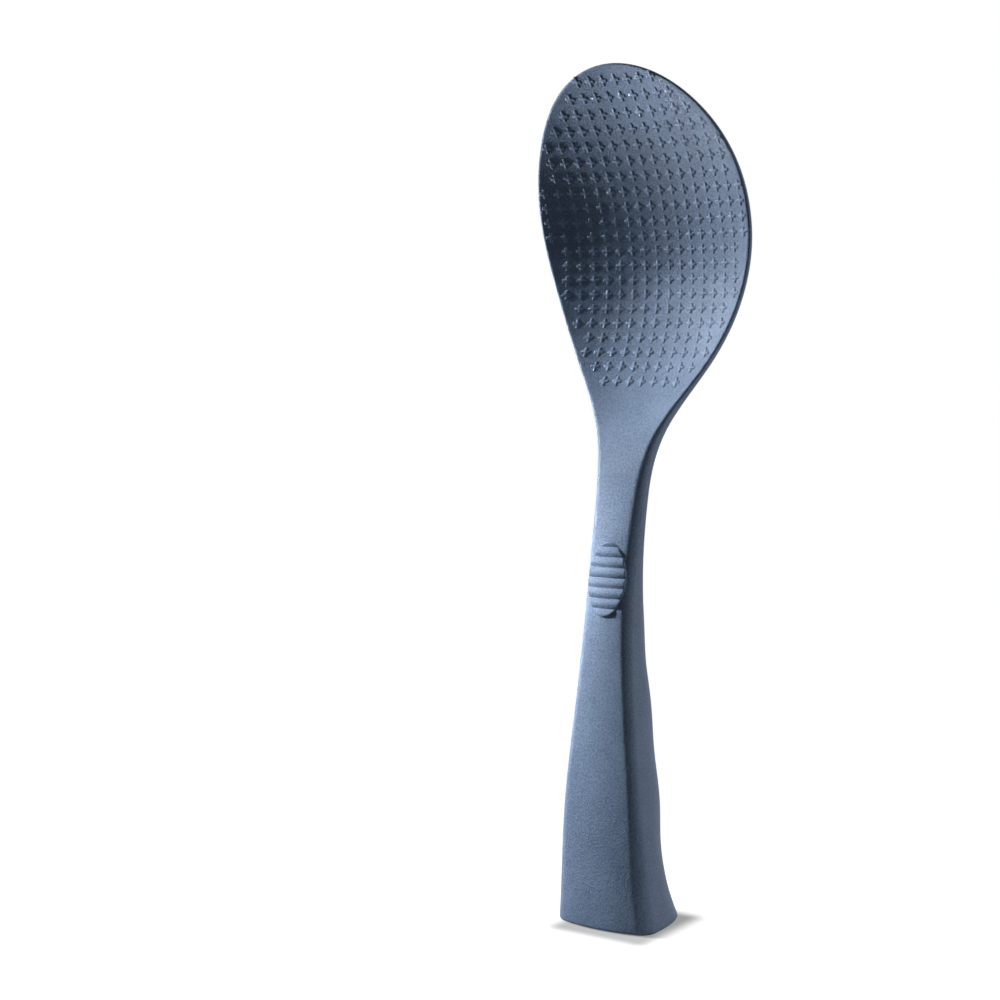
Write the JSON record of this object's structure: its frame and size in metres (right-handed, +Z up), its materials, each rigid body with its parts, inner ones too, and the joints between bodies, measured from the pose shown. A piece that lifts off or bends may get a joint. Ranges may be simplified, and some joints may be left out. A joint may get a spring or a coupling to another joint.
{
  "type": "serving paddle",
  "caption": "Silicone rice paddle with a scooped, bumped blade, a ribbed thumb pad and a flared, weighted handle that stands up on its own flat foot.",
  "frame": {"origin": "middle of the foot's underside", "axes": "+Z up from the foot to the tip, -Y the way the bowl and the thumb pad face, +X to the right seen from the front"},
  "size_m": [0.064, 0.0351, 0.2264],
  "materials": {
    "navy_silicone": "matte silicone with a fine moulded grain",
    "plate_steel": "plain rolled steel",
    "core_nylon": "moulded nylon",
    "rivet_steel": "plain drawn steel",
    "ballast_iron": "as cast",
    "cap_nylon": "moulded nylon, dyed to match the skin"
  },
  "bodies": {
    "root": {"silicone_skin": "navy_silicone", "blade_plate": "plate_steel", "handle_core": "core_nylon", "tang_rivet_lower": "rivet_steel", "tang_rivet_upper": "rivet_steel", "ballast_weight": "ballast_iron", "base_cap": "cap_nylon"}
  },
  "joints": []
}
